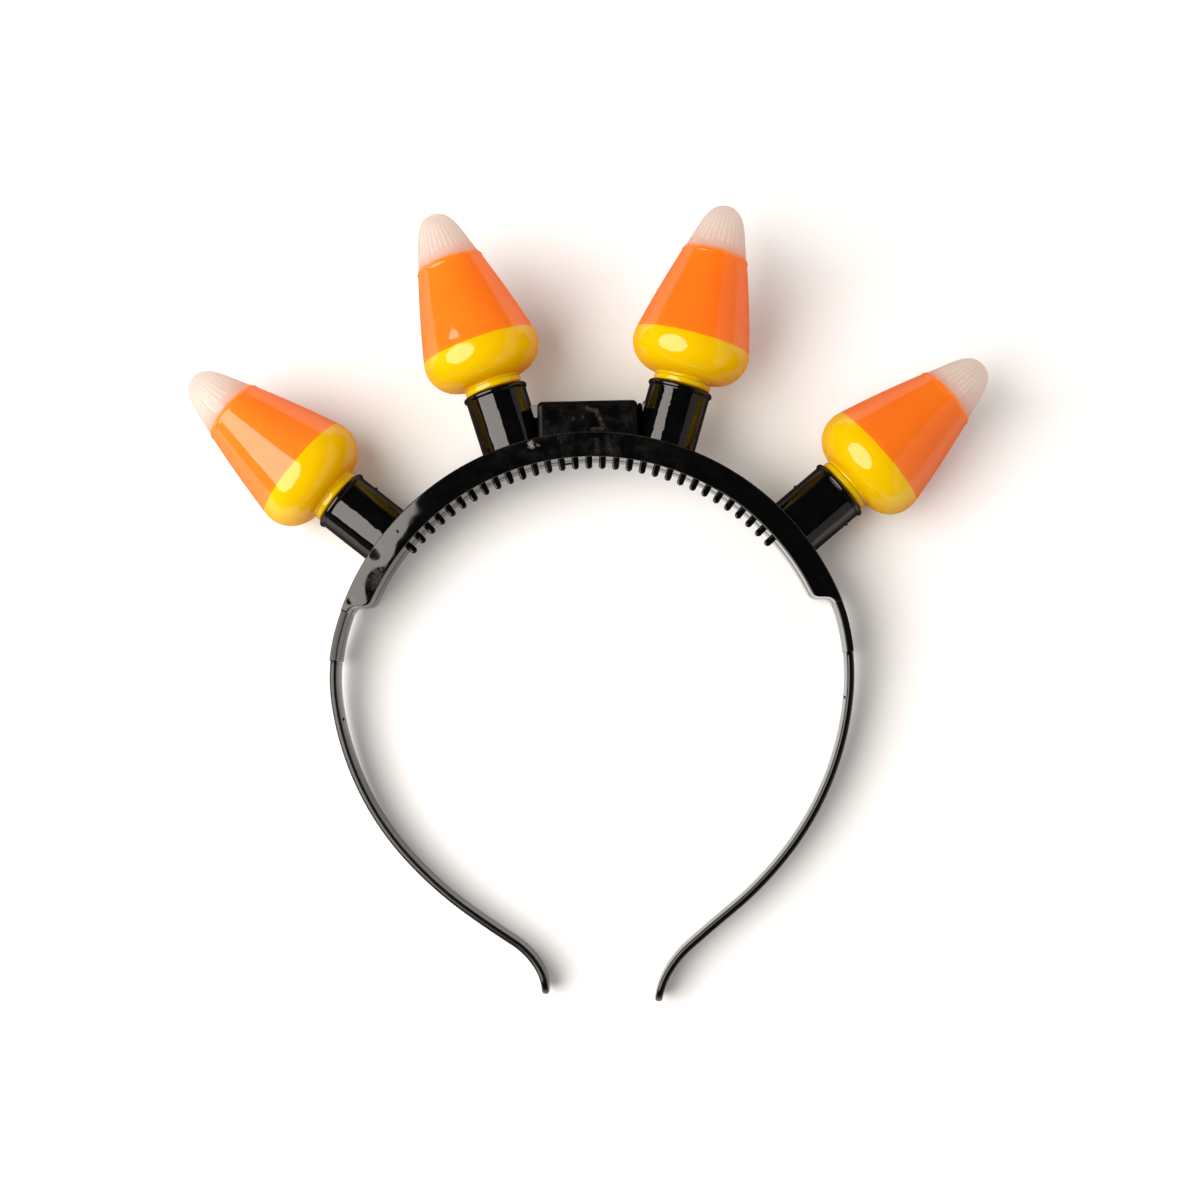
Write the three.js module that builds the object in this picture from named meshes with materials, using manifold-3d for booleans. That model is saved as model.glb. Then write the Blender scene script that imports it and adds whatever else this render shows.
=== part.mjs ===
// A light-up headband lying flat: a two-shell crown with comb teeth, a battery box and four sockets,
// two springy arms, and four bulbs like three-colour candy sweets.
// Millimetres. +Z is up, and +Y runs from the arm tips to the crown.

import * as THREE from 'three';
import { mergeVertices } from 'three/addons/utils/BufferGeometryUtils.js';
import Module from 'manifold-3d';

const wasm = await Module();
wasm.setup();

// Fits
const SEAT_GAP = 0.3; // between pieces that touch on the real headband
const OVERLAP = 0.8; // how deep a tooth is rooted in the wall that it grows from
const SAME_POINT = 1e-6; // points of an outline closer than this are one

// Crown: the stiff, hollow arc that the bulbs stand on. A spread is an angle from the middle, in degrees.
const CROWN_RADIUS = 66.1; // outside of the arc
const CROWN_BAND = 6.2; // radial width of its face
const CROWN_DEPTH = 16.4; // both shells, front to back
const CROWN_SPREAD = 64.9; // where the full-width band ends
const SHOULDER_SPREAD = 4.7; // further angle over which it narrows to the arm
const SHOULDER_BEND = 3.2; // reach of the S-curve's two bends
const SHELL_WALL = 1.2;
const END_WALL = 2.4; // along the arc, at each end of the hollow

// Tongues: the shells' thin ends, which clamp the arms
const TONGUE_LENGTH = 12.6;
const TONGUE_LIP = 0.8; // wall on the inner side of the arm
const TONGUE_PLATE = 0.9; // wall over the arm's edge

// Arms
const ARM_LENGTH = 115.5; // from the shoulder to the tip
const ARM_THICKNESS = 1.8;
const ARM_DEPTH = 12.0; // at the shoulder
const ARM_TIP_DEPTH = 9.5;
const ARM_TIP_RADIUS = 4.2; // round corners at the tip, seen square to the strip
const ARM_STEP = 2.6; // length of one facet

// Each arm as it has relaxed, from the shoulder to the tip, as a chain of arcs.
// share: part of the arm's length. left, right: degrees that the arm turns towards the other one.
const ARM_ARCS = [
  { share: 0.05, left: 5.1, right: 8.9 },
  { share: 0.15, left: 22.8, right: 17.7 },
  { share: 0.18, left: 16.3, right: 16.2 },
  { share: 0.18, left: 16.9, right: 15.9 },
  { share: 0.18, left: 12.5, right: 13.3 },
  { share: 0.12, left: 3.3, right: -2.1 },
  { share: 0.08, left: -27.2, right: -21.1 },
  { share: 0.06, left: -34.0, right: -20.9 },
];

// Comb: a row of round teeth on the inner wall of the front shell
const TOOTH_COUNT = 31;
const TOOTH_SPREAD = 49.3; // angle of the outermost teeth
const TOOTH_DIAMETER = 1.5;
const TOOTH_LENGTH = 2.3;
const TOOTH_HEIGHT = 2.0; // above the mid-plane

// Sockets
const SOCKET_DIAMETER = 15.5;
const SOCKET_BORE = 12.9;
const SOCKET_LENGTH = 15.1; // from the crown's outside to the rim
const RIM_DIAMETER = 16.4;
const RIM_LENGTH = 1.5;
const INNER_SPREAD = 16.75;
const OUTER_SPREAD = 50.75;

// Battery box, and the webs that tie it to the inner sockets
const BOX_WIDTH = 24.9;
const BOX_RISE = 7.3; // above the crown's outside
const BOX_SETBACK = 0.35; // of its front below the crown's face
const BOX_WALL = 1.2;
const WEB_DEPTH = 3.0;

// Bulbs, measured along their own axis from the neck's seat on the rim
const BULB_LENGTH = 47.7;
const BULB_WALL = 2.0;
const NECK_DIAMETER = 14.4;
const BULGE_RADIUS = 7.6; // the bulge is a ring of round section above the neck's wall
const BULGE_RISE = 9.7; // from the seat to the widest ring
const SPIGOT_LENGTH = 6.0; // hidden in the socket
const SPIGOT_WALL = 1.3;
const CONE_SLOPE = 13.1; // degrees, where the cone leaves the bulge
const TIP_LENGTH = 6.0; // of the round end
const TIP_DIAMETER = 11.9; // where the round end leaves the cone
const TIP_SLOPE = 18.7; // degrees, at the same place
const TIP_FULLNESS = 0.55; // of the round end: 0.5 is slimmer, 0.6 blunter

// lean: degrees that a bulb stands off its socket's axis, clockwise seen from the front
const BULBS = [
  { name: 'bulb_outer_left', spread: -OUTER_SPREAD, lean: 1.3 },
  { name: 'bulb_inner_left', spread: -INNER_SPREAD, lean: -1.8 },
  { name: 'bulb_inner_right', spread: INNER_SPREAD, lean: -0.95 },
  { name: 'bulb_outer_right', spread: OUTER_SPREAD, lean: -0.55 },
];

// Fineness of round things
const CROWN_FACET = 4; // degrees of the crown's arc
const SOCKET_SIDES = 24;
const BULB_SIDES = 20;
const TOOTH_SIDES = 6;
const SHOULDER_STEPS = 6;
const BULGE_STEPS = 7;
const CONE_STEPS = 3;
const TIP_STEPS = 4;
const CORNER_STEPS = 5;

// Sizes that follow
const crownInside = CROWN_RADIUS - CROWN_BAND;
const shoulderEnd = CROWN_SPREAD + SHOULDER_SPREAD;
const seam = SEAT_GAP / 2; // each shell stops this far from the mid-plane
const rimRadius = CROWN_RADIUS + SOCKET_LENGTH; // of the sockets' mouths, from the crown's centre

const rad = THREE.MathUtils.degToRad;

// Point at a radius from the crown's centre and a spread from the middle
function polar(radius, spread) {
  return new THREE.Vector2(radius * Math.sin(rad(spread)), radius * Math.cos(rad(spread)));
}

function arc(radius, from, to) {
  const steps = Math.ceil(Math.abs(to - from) / CROWN_FACET);
  return Array.from({ length: steps + 1 }, (_, i) => polar(radius, from + ((to - from) * i) / steps));
}

// Closed shape through points, without the doubles where two stretches meet
function outline(points) {
  const apart = (point, i) => point.distanceTo(points.at(i - 1)) > SAME_POINT;
  return new THREE.Shape(points.filter(apart));
}

function extruded(shape, low, high) {
  const geometry = new THREE.ExtrudeGeometry(shape, { depth: high - low, bevelEnabled: false });
  return geometry.translate(0, 0, low);
}

function block(width, bottom, top, low, high) {
  const geometry = new THREE.BoxGeometry(width, top - bottom, high - low);
  return geometry.translate(0, (bottom + top) / 2, (low + high) / 2);
}

// Turns a shape made along +Y to point away from the crown's centre at a spread
function aimed(geometry, spread) {
  return geometry.rotateZ(-rad(spread));
}

// Closed body for joining and cutting
function solid(geometry) {
  const bare = geometry.clone();
  bare.deleteAttribute('normal');
  bare.deleteAttribute('uv');
  const merged = mergeVertices(bare);
  const corners = merged.index.array;
  const triVerts = [];
  for (let i = 0; i < corners.length; i += 3) {
    const [a, b, c] = corners.slice(i, i + 3);
    if (a !== b && b !== c && c !== a) triVerts.push(a, b, c);
  }
  const mesh = new wasm.Mesh({
    numProp: 3,
    vertProperties: new Float32Array(merged.attributes.position.array),
    triVerts: new Uint32Array(triVerts),
  });
  return new wasm.Manifold(mesh);
}

function joined(solids) {
  return solids.reduce((whole, next) => whole.add(next));
}

function named(name, body, material) {
  const { vertProperties, triVerts } = body.getMesh();
  const geometry = new THREE.BufferGeometry();
  geometry.setAttribute('position', new THREE.BufferAttribute(vertProperties, 3));
  geometry.setIndex(new THREE.BufferAttribute(triVerts, 1));
  const mesh = new THREE.Mesh(geometry.toNonIndexed(), new THREE.MeshStandardMaterial(material));
  mesh.geometry.computeVertexNormals();
  mesh.name = name;
  return mesh;
}

// Where an arm's middle line is, and which way it points, at a length from the shoulder.
// This and what builds on it make a right-hand arm; a left-hand one is its mirror image.
function armPoint(side, along) {
  const point = polar(CROWN_RADIUS - ARM_THICKNESS / 2, shoulderEnd);
  let heading = -rad(shoulderEnd);
  let remaining = along;
  for (const row of ARM_ARCS) {
    const length = row.share * ARM_LENGTH;
    const piece = Math.min(remaining, length);
    const turn = -rad(row[side]) * (piece / length);
    const chord = piece * (turn === 0 ? 1 : Math.sin(turn / 2) / (turn / 2));
    point.x += chord * Math.cos(heading + turn / 2);
    point.y += chord * Math.sin(heading + turn / 2);
    heading += turn;
    remaining -= piece;
    if (remaining <= 0) break;
  }
  return { point, heading };
}

// Points beside an arm's middle line, offset outwards
function armSide(side, from, to, offset) {
  const steps = Math.ceil((to - from) / ARM_STEP);
  return Array.from({ length: steps + 1 }, (_, i) => {
    const { point, heading } = armPoint(side, from + ((to - from) * i) / steps);
    const out = new THREE.Vector2(-Math.sin(heading), Math.cos(heading));
    return point.addScaledVector(out, offset);
  });
}

const mirrored = (point) => new THREE.Vector2(-point.x, point.y);

// S-curve from the tongue's inner side back up to the crown's inner arc
function shoulder(side) {
  const { point: bottom, heading } = armPoint(side, 0);
  bottom.addScaledVector(new THREE.Vector2(-Math.sin(heading), Math.cos(heading)), -ARM_THICKNESS / 2);
  const top = polar(crownInside, CROWN_SPREAD);
  const below = new THREE.Vector2(Math.cos(heading), Math.sin(heading)).multiplyScalar(-SHOULDER_BEND);
  const above = polar(SHOULDER_BEND, CROWN_SPREAD + 90);
  const curve = new THREE.CubicBezierCurve(bottom, bottom.clone().add(below), top.clone().add(above), top);
  return curve.getPoints(SHOULDER_STEPS);
}

// One half of the crown's outline, from the top middle round the tongue, if it has one, to the inner middle
function crownHalf(side, tongueWidth) {
  const inner = -ARM_THICKNESS / 2;
  const tongue = [
    ...armSide(side, 0, TONGUE_LENGTH, inner + tongueWidth),
    ...armSide(side, 0, TONGUE_LENGTH, inner).reverse(),
  ];
  return [
    ...arc(CROWN_RADIUS, 0, shoulderEnd),
    ...(tongueWidth > 0 ? tongue : []),
    ...shoulder(side),
    ...arc(crownInside, CROWN_SPREAD, 0),
  ];
}

function crownOutline(sides, tongueWidth) {
  const right = crownHalf(sides.right, tongueWidth);
  const left = crownHalf(sides.left, tongueWidth).map(mirrored).reverse();
  return outline([...right, ...left]);
}

function socketPart(diameter, from, to, spread) {
  const geometry = new THREE.CylinderGeometry(diameter / 2, diameter / 2, to - from, SOCKET_SIDES);
  return solid(aimed(geometry.translate(0, (from + to) / 2, 0), spread));
}

// The hollow that runs through crown, box and sockets
function crownHollow() {
  const half = CROWN_DEPTH / 2;
  const low = crownInside + SHELL_WALL;
  const high = CROWN_RADIUS - SHELL_WALL;
  const spread = CROWN_SPREAD - THREE.MathUtils.radToDeg(END_WALL / CROWN_RADIUS);
  const channel = outline([...arc(high, -spread, spread), ...arc(low, spread, -spread)]);
  const boxTop = CROWN_RADIUS + BOX_RISE - BOX_WALL;
  const boxDepth = half - BOX_SETBACK - BOX_WALL;
  const mouth = rimRadius + RIM_LENGTH;
  return joined([
    solid(extruded(channel, -half, half - SHELL_WALL)),
    solid(block(BOX_WIDTH - 2 * BOX_WALL, (low + high) / 2, boxTop, -half, boxDepth)),
    ...BULBS.map(({ spread: at }) => socketPart(SOCKET_BORE, (low + high) / 2, mouth, at)),
  ]);
}

function tooth(spread) {
  const radius = TOOTH_DIAMETER / 2;
  const straight = OVERLAP + TOOTH_LENGTH - radius;
  const dome = radius * Math.SQRT1_2;
  const profile = [
    [0, 0], [radius, 0], [radius, straight], [dome, straight + dome], [0, straight + radius],
  ].map(([x, y]) => new THREE.Vector2(x, y));
  const geometry = new THREE.LatheGeometry(profile, TOOTH_SIDES).rotateZ(Math.PI);
  return solid(aimed(geometry.translate(0, crownInside + OVERLAP, TOOTH_HEIGHT), spread));
}

// Half of the crown, with its open side down on the mid-plane
function crownShell(sides) {
  const half = CROWN_DEPTH / 2;
  const plate = ARM_DEPTH / 2 + SEAT_GAP;
  const boxTop = CROWN_RADIUS + BOX_RISE;
  const root = CROWN_RADIUS - CROWN_BAND / 2; // everything that stands on the crown starts inside its band
  const webWidth = 2 * rimRadius * Math.sin(rad(INNER_SPREAD)) - SOCKET_BORE;
  const body = joined([
    solid(extruded(crownOutline(sides, 0), seam, half)),
    solid(extruded(crownOutline(sides, TONGUE_LIP), seam, plate + TONGUE_PLATE)),
    solid(extruded(crownOutline(sides, ARM_THICKNESS), plate, plate + TONGUE_PLATE)),
    solid(block(BOX_WIDTH, root, boxTop, seam, half - BOX_SETBACK)),
    solid(block(webWidth, root, boxTop, seam, WEB_DEPTH / 2)),
    ...BULBS.map(({ spread }) => socketPart(SOCKET_DIAMETER, root, rimRadius, spread)),
    ...BULBS.map(({ spread }) => socketPart(RIM_DIAMETER, rimRadius - RIM_LENGTH, rimRadius, spread)),
  ]);
  const reach = 2 * (rimRadius + RIM_DIAMETER);
  const upper = solid(block(reach, -reach, reach, seam, CROWN_DEPTH));
  return body.subtract(crownHollow()).intersect(upper);
}

function frontShell() {
  const teeth = Array.from({ length: TOOTH_COUNT }, (_, i) =>
    tooth(TOOTH_SPREAD * ((2 * i) / (TOOTH_COUNT - 1) - 1)));
  return joined([crownShell({ right: 'right', left: 'left' }), ...teeth]);
}

// Half of a round end's width, at a distance from where the rounding starts
function roundEnd(half, radius, into) {
  return into <= 0 ? half : half - radius + Math.sqrt(Math.max(0, radius ** 2 - into ** 2));
}

// The arm's section at a length from the shoulder: its inner and outer side and half its depth.
// It is thin beside the tongues' lips, and tapers towards the tip, which is round both ways.
function armSection(along, besideLip) {
  const radius = ARM_THICKNESS / 2;
  const outer = roundEnd(radius, radius, along - (ARM_LENGTH - radius));
  const inner = besideLip ? TONGUE_LIP + SEAT_GAP - radius : -outer;
  const depth = THREE.MathUtils.lerp(ARM_DEPTH, ARM_TIP_DEPTH, along / ARM_LENGTH);
  const half = roundEnd(depth / 2, ARM_TIP_RADIUS, along - (ARM_LENGTH - ARM_TIP_RADIUS));
  return { along, inner, outer, half };
}

function armSections() {
  const full = TONGUE_LENGTH + SEAT_GAP;
  const spaced = (from, to) => {
    const steps = Math.ceil((to - from) / ARM_STEP);
    return Array.from({ length: steps + 1 }, (_, i) => from + ((to - from) * i) / steps);
  };
  const turn = Math.PI / 2 / CORNER_STEPS;
  const bend = Array.from({ length: CORNER_STEPS }, (_, i) => Math.sin((i + 1) * turn));
  return [
    ...spaced(SEAT_GAP, full).map((along) => armSection(along, true)),
    ...spaced(full, ARM_LENGTH - ARM_TIP_RADIUS).map((along) => armSection(along, false)),
    ...bend.map((share) => armSection(ARM_LENGTH + ARM_TIP_RADIUS * (share - 1), false)),
  ];
}

// A box with one slice for each step between sections, bent along the arm's middle line
function arm(side) {
  const sections = armSections();
  const slices = sections.length - 1;
  const geometry = new THREE.BoxGeometry(slices, 2, 2, slices);
  const corners = geometry.attributes.position;
  for (let i = 0; i < corners.count; i += 1) {
    const { along, inner, outer, half } = sections[Math.round(corners.getX(i) + slices / 2)];
    const { point, heading } = armPoint(side, along);
    const offset = corners.getY(i) > 0 ? outer : inner;
    point.addScaledVector(new THREE.Vector2(-Math.sin(heading), Math.cos(heading)), offset);
    corners.setXYZ(i, point.x, point.y, corners.getZ(i) * half);
  }
  return solid(geometry);
}

// One side of a bulb's wall as points [radius, height], from below the bulge to the tip.
// An inset of 0 gives the outside.
function bulbSkin(inset, lowestRadius) {
  const neck = NECK_DIAMETER / 2;
  const ring = BULGE_RADIUS - inset;
  const lowest = -Math.acos((lowestRadius - neck) / ring);
  const slope = rad(CONE_SLOPE);
  const bulge = Array.from({ length: BULGE_STEPS + 1 }, (_, i) => {
    const angle = lowest + ((slope - lowest) * i) / BULGE_STEPS;
    return new THREE.Vector2(neck + ring * Math.cos(angle), BULGE_RISE + ring * Math.sin(angle));
  });
  const coneStart = bulge.at(-1);
  const tipSlope = rad(TIP_SLOPE);
  const coneEnd = new THREE.Vector2(TIP_DIAMETER / 2, BULB_LENGTH - TIP_LENGTH)
    .addScaledVector(new THREE.Vector2(Math.cos(tipSlope), Math.sin(tipSlope)), -inset);
  const tip = new THREE.Vector2(0, BULB_LENGTH - inset);
  const third = (coneEnd.y - coneStart.y) / 3;
  const cone = new THREE.CubicBezierCurve(
    coneStart,
    coneStart.clone().add(new THREE.Vector2(-Math.tan(slope), 1).multiplyScalar(third)),
    coneEnd.clone().add(new THREE.Vector2(Math.tan(tipSlope), -1).multiplyScalar(third)),
    coneEnd,
  );
  const rise = (tip.y - coneEnd.y) * TIP_FULLNESS;
  const round = new THREE.CubicBezierCurve(
    coneEnd,
    coneEnd.clone().add(new THREE.Vector2(-Math.tan(tipSlope), 1).multiplyScalar(rise)),
    new THREE.Vector2(coneEnd.x * TIP_FULLNESS, tip.y),
    tip,
  );
  return [...bulge, ...cone.getPoints(CONE_STEPS).slice(1), ...round.getPoints(TIP_STEPS).slice(1)];
}

// A hollow bulb along +Y, open below, with the seat of its neck at the origin
function bulb() {
  const outside = SOCKET_BORE / 2 - SEAT_GAP;
  const inside = outside - SPIGOT_WALL;
  const profile = [
    ...bulbSkin(BULB_WALL, inside).reverse(),
    new THREE.Vector2(inside, -SPIGOT_LENGTH),
    new THREE.Vector2(outside, -SPIGOT_LENGTH),
    new THREE.Vector2(outside, 0),
    new THREE.Vector2(NECK_DIAMETER / 2, 0),
    ...bulbSkin(0, NECK_DIAMETER / 2),
  ];
  return solid(new THREE.LatheGeometry(profile, BULB_SIDES));
}

const blackGloss = { color: 0x17161a, roughness: 0.25, metalness: 0 };
const blackSatin = { color: 0x1b1a1c, roughness: 0.4, metalness: 0 };
const candyOrange = { color: 0xf58220, roughness: 0.2, metalness: 0 };

const assembly = new THREE.Group();

// Both halves are drawn with their open side down. The back one is then turned over, which swaps its sides.
assembly.add(named('front_shell', frontShell(), blackGloss));
const backShell = named('back_shell', crownShell({ right: 'left', left: 'right' }), blackGloss);
backShell.rotation.y = Math.PI;
assembly.add(backShell);

// An arm is alike above and below the mid-plane, so turning it over makes a left-hand one.
assembly.add(named('right_arm', arm('right'), blackSatin));
const leftArm = named('left_arm', arm('left'), blackSatin);
leftArm.rotation.y = Math.PI;
assembly.add(leftArm);

for (const { name, spread, lean } of BULBS) {
  const socket = new THREE.Group();
  socket.rotation.z = -rad(spread);
  const lamp = named(name, bulb(), candyOrange);
  lamp.position.y = rimRadius + SEAT_GAP;
  lamp.rotation.z = -rad(lean);
  socket.add(lamp);
  assembly.add(socket);
}

// The origin is the bottom centre of the whole: the headband rests on its four bulbs.
const box = new THREE.Box3().setFromObject(assembly, true);
assembly.position.set(-(box.min.x + box.max.x) / 2, -(box.min.y + box.max.y) / 2, -box.min.z);

const headband = new THREE.Group();
headband.add(assembly);
export default headband;
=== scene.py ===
# %% [markdown]
# # A light-up headband, laid flat on a white table
#
# This headband is a party accessory: a hard black plastic hoop with four fat bulbs on its crown, painted
# like three-colour sweets. It is made of a few moulded parts. Two shells meet face to face and form the
# hollow crown, a battery box and four sockets. Two springy arms are clamped between the shells' ends.
#
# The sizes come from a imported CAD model. This lesson dresses it: each plain solid gets a smooth piece of
# its own, with rounded edges, seams and a finish made from nodes.

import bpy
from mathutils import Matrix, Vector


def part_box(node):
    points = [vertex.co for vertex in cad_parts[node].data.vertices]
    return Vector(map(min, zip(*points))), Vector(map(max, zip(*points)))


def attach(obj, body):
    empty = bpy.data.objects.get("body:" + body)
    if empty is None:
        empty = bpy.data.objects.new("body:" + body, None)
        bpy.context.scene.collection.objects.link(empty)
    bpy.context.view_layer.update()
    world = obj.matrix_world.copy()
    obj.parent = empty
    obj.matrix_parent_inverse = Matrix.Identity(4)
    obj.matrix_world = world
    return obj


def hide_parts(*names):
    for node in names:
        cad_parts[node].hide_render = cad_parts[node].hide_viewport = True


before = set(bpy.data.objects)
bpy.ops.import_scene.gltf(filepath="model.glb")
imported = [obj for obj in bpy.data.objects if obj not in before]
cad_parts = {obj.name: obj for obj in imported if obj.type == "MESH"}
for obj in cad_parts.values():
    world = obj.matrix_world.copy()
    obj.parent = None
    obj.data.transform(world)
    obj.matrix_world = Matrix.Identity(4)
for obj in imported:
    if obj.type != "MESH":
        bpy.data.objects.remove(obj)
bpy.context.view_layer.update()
print("CAD nodes:", ", ".join(sorted(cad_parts)))

# %% [markdown]
# ## Units and the crown's centre
#
# Everything is drawn in millimetres round one point, the centre of the crown's arc, and turned into metres
# when a mesh is made. The point isn't stored anywhere, but it can be worked out: the shell's box is as wide
# on both sides of it, and the box's top touches the rims of the two inner sockets.

# %% Units and the crown's centre
import math

import bmesh
import bpy
from mathutils import Matrix, Vector, noise

MM = 0.001

CROWN_RADIUS = 66.1  # outside of the arc
CROWN_BAND = 6.2  # radial width of its face
SOCKET_LENGTH = 15.1  # from the crown's outside to the rim
RIM_DIAMETER = 16.4
INNER_SPREAD = 16.75  # degrees from the middle to the inner sockets
OUTER_SPREAD = 50.75

rim_radius = CROWN_RADIUS + SOCKET_LENGTH
inner_turn = math.radians(INNER_SPREAD)
rim_top = rim_radius * math.cos(inner_turn) + RIM_DIAMETER / 2 * math.sin(inner_turn)

shell_low, shell_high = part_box("front_shell")
bulb_low, bulb_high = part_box("bulb_outer_left")
CENTRE = Vector((
    (shell_low.x + shell_high.x) / 2,
    shell_high.y - rim_top * MM,
    (bulb_low.z + bulb_high.z) / 2,
))
HALF_DEPTH = (shell_high.z - CENTRE.z) / MM  # from the seam between the shells to the crown's face
print("crown centre at", [round(x / MM, 2) for x in CENTRE], "mm, half depth", round(HALF_DEPTH, 2), "mm")

# %% [markdown]
# ## Camera
#
# The photograph was taken from straight above with a long lens, and a little from the right and from below.
# The same small offset shows the inner wall of the crown and a sliver of the left arm's inside. The aim
# point is the middle of the picture, at the height of the seam, and the picture is turned by one degree.

# %% Camera
CAMERA_OFFSET = Vector((12.97, -27.75, 600.0))  # from the aim point, in millimetres
AIM = Vector((2.09, 24.65, 0.0))  # from the crown's centre
PICTURE_TURN = 1.1  # degrees, clockwise
LENS = 72.09  # mm, on a sensor 36 mm wide


def aimed_camera(name, position, target, turn, lens):
    """A camera at a position that looks at a target, with the picture's top near +Y."""
    camera = bpy.data.objects.new(name, bpy.data.cameras.new(name))
    bpy.context.scene.collection.objects.link(camera)
    backward = (position - target).normalized()
    top = Vector((math.sin(math.radians(turn)), math.cos(math.radians(turn)), 0))
    right = top.cross(backward).normalized()
    up = backward.cross(right)
    axes = Matrix((right, up, backward)).transposed()
    camera.matrix_world = Matrix.Translation(position) @ axes.to_4x4()
    camera.data.lens = lens
    camera.data.clip_start, camera.data.clip_end = 0.01, 100
    return camera


target = CENTRE + AIM * MM
camera = aimed_camera("camera", target + CAMERA_OFFSET * MM, target, PICTURE_TURN, LENS)
bpy.context.scene.camera = camera
print("camera at", [round(x, 4) for x in camera.location])

# %% [markdown]
# ## Node expressions
#
# A finish is a small program. Written with nodes alone it is hard to read, so this class wraps a socket and
# lets Python's operators add the Math nodes. Every other node comes from one method, which takes the node's
# type, its settings and what goes into its sockets. Those that come up again and again have a short name.

# %% Node expressions
class Wire:
    """An output socket. Sums, differences and products of wires are wires too."""

    def __init__(self, tree, socket):
        self.tree, self.socket = tree, socket

    def math(self, operation, first, second):
        return self.tree.node("ShaderNodeMath", {"operation": operation}, {0: first, 1: second})

    def __add__(self, other):
        return self.math("ADD", self, other)

    def __radd__(self, other):
        return self.math("ADD", other, self)

    def __sub__(self, other):
        return self.math("SUBTRACT", self, other)

    def __rsub__(self, other):
        return self.math("SUBTRACT", other, self)

    def __mul__(self, other):
        return self.math("MULTIPLY", self, other)

    def __rmul__(self, other):
        return self.math("MULTIPLY", other, self)

    def __truediv__(self, other):
        return self.math("DIVIDE", self, other)


class Nodes:
    """An empty node tree to build a material or a world in."""

    def __init__(self, owner):
        self.owner = owner
        owner.use_nodes = True
        self.tree = owner.node_tree
        self.tree.nodes.clear()

    def node(self, kind, settings=None, inputs=None, output=0):
        """A node of a kind, with its settings and the values or wires of its sockets."""
        made = self.tree.nodes.new(kind)
        for name, value in (settings or {}).items():
            setattr(made, name, value)
        for name, value in (inputs or {}).items():
            socket = made.inputs[name]
            if isinstance(value, Wire):
                self.tree.links.new(value.socket, socket)
            else:
                socket.default_value = value
        return Wire(self, made.outputs[output]) if made.outputs else None

    def step(self, value, low, high):
        """Rises smoothly from 0 to 1 while the value goes from low to high."""
        return self.node(
            "ShaderNodeMapRange",
            {"interpolation_type": "SMOOTHSTEP"},
            {"Value": value, "From Min": low, "From Max": high},
        )

    def noise(self, place, size, detail=2.0, roughness=0.5):
        """Soft random values from 0 to 1, with spots of about the given size in millimetres."""
        return self.node(
            "ShaderNodeTexNoise",
            None,
            {"Vector": place, "Scale": 1 / (size * MM), "Detail": detail, "Roughness": roughness},
        )

    def blend(self, mask, first, second):
        """One colour where the mask is 0 and the other where it is 1."""
        return self.node(
            "ShaderNodeMix", {"data_type": "RGBA"}, {0: mask, 6: first, 7: second}, output=2
        )

    def vectors(self, operation, first, second=None, output=0):
        inputs = {0: first} if second is None else {0: first, 1: second}
        return self.node("ShaderNodeVectorMath", {"operation": operation}, inputs, output)

    def bump(self, distance, height, normal=None):
        """Small relief, as deep as the distance in millimetres where the height is 1."""
        inputs = {"Strength": 1.0, "Distance": distance * MM, "Height": height}
        if normal:
            inputs["Normal"] = normal
        return self.node("ShaderNodeBump", None, inputs)

    def facing(self, low, high):
        """0 where the surface is seen from above and 1 at flat angles."""
        weight = self.node("ShaderNodeLayerWeight", None, {"Blend": 0.5}, "Facing")
        return self.step(weight, low, high)

    def mix(self, mask, first, second):
        """One shader where the mask is 0 and the other where it is 1."""
        return self.node("ShaderNodeMixShader", None, {0: mask, 1: first, 2: second})

    def surface(self, shader):
        self.node("ShaderNodeOutputMaterial", None, {"Surface": shader})
        return self.owner


def finish(name):
    return Nodes(bpy.data.materials.new(name))


print("node helpers ready")

# %% [markdown]
# ## Scrapes and a painted highlight
#
# Some marks on the black face stand out, such as the pale speck beside the battery box. The mark on the
# box's bevel is a painted highlight where the bevel faces the softbox. They have their own places, so each
# is drawn as a mask round a short line. The distance to the line's nearest point is a few steps of vector
# maths, and a noise added to it makes the mark's edge ragged.

# %% Scrapes and a painted highlight
SCRAPES = (  # from, to, radius and brightness of pale marks on the face
    ((-14.2, 63.35), (-13.95, 62.7), 0.85, 1.0),
    ((-12.6, 63.05), (-12.1, 62.9), 0.50, 0.40),
    ((-0.1, 71.9), (2.3, 71.1), 0.70, 0.13),
    ((2.3, 71.2), (3.1, 69.3), 0.95, 0.13),
    ((3.1, 69.3), (3.9, 67.0), 0.75, 0.09),
    ((1.0, 66.7), (3.5, 66.8), 0.55, 0.14),
    ((2.0, 63.9), (2.6, 60.6), 0.90, 0.06),
    ((4.7, 64.3), (5.7, 61.0), 0.95, 0.05),
    ((-3.5, 69.7), (-3.6, 69.0), 0.40, 0.12),
    ((-1.2, 70.0), (-1.25, 69.4), 0.35, 0.10),
    ((-51.9, 37.6), (-52.8, 38.8), 1.7, 0.10),
    ((-52.6, 31.9), (-53.2, 29.6), 2.2, 0.14),
    ((-58.9, 25.9), (-59.5, 25.4), 1.1, 0.12),
)
EDGE_PAINTED_HIGHLIGHT = (((-11.75, 72.2), (-11.75, 70.8), 0.60, 0.9),)  # a painted highlight on the battery box's bevel, where it faces the softbox
RAGGEDNESS = 2.2  # in radii


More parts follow.
